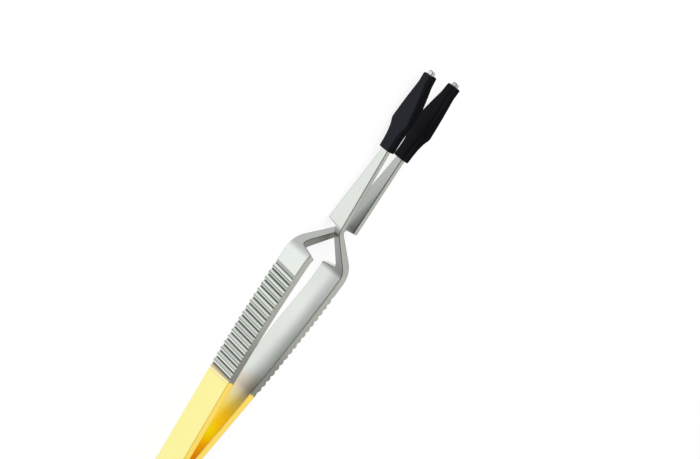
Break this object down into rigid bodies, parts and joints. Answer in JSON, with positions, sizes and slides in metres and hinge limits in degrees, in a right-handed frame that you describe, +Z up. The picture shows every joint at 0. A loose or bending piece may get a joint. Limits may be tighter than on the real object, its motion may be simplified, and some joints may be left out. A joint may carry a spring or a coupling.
{
  "type": "bead tweezers",
  "caption": "Self-closing cross-lock tweezers: two crossed spring strips joined at the tail, gilt rear, ribbed grips and rubber-booted jaws that part when the grips are squeezed.",
  "frame": {"origin": "under the middle of the length, on the surface that the strips' lower edges lie on", "axes": "+X along the length towards the tips, +Z up across the strips' width, +Y towards the grip of strip A"},
  "size_m": [0.1556, 0.0184, 0.01],
  "materials": {
    "gold_plate": "thin polished gold plate over the steel strip",
    "spring_steel": "bright satin-polished stainless spring steel",
    "black_rubber": "smooth black rubber, slightly matt",
    "weld_metal": "fused spot-weld metal inside the seam"
  },
  "bodies": {
    "tail": {"tail_leaf_a": "gold_plate", "tail_leaf_b": "gold_plate", "weld_nugget_1": "weld_metal", "weld_nugget_2": "weld_metal"},
    "arm_a": {"spring_leaf_a": "gold_plate", "grip_jaw_a": "spring_steel", "tip_boot_a": "black_rubber"},
    "arm_b": {"spring_leaf_b": "gold_plate", "grip_jaw_b": "spring_steel", "tip_boot_b": "black_rubber"}
  },
  "joints": [
    {"name": "arm_a_flex", "type": "hinge", "parent": "tail", "child": "arm_a", "pos_m": [-0.05885, 0.00147, 0.005], "axis": [0, 0, 1], "range_deg": [-3.6, 1], "stiffness_Nm_per_rad": 4, "springref_deg": 2},
    {"name": "arm_b_flex", "type": "hinge", "parent": "tail", "child": "arm_b", "pos_m": [-0.05885, -0.00147, 0.005], "axis": [0, 0, 1], "range_deg": [-1, 3.6], "stiffness_Nm_per_rad": 4, "springref_deg": -2}
  ],
  "couplings": [
    {"joint": "arm_b_flex", "follows": "arm_a_flex", "ratio": -1}
  ]
}
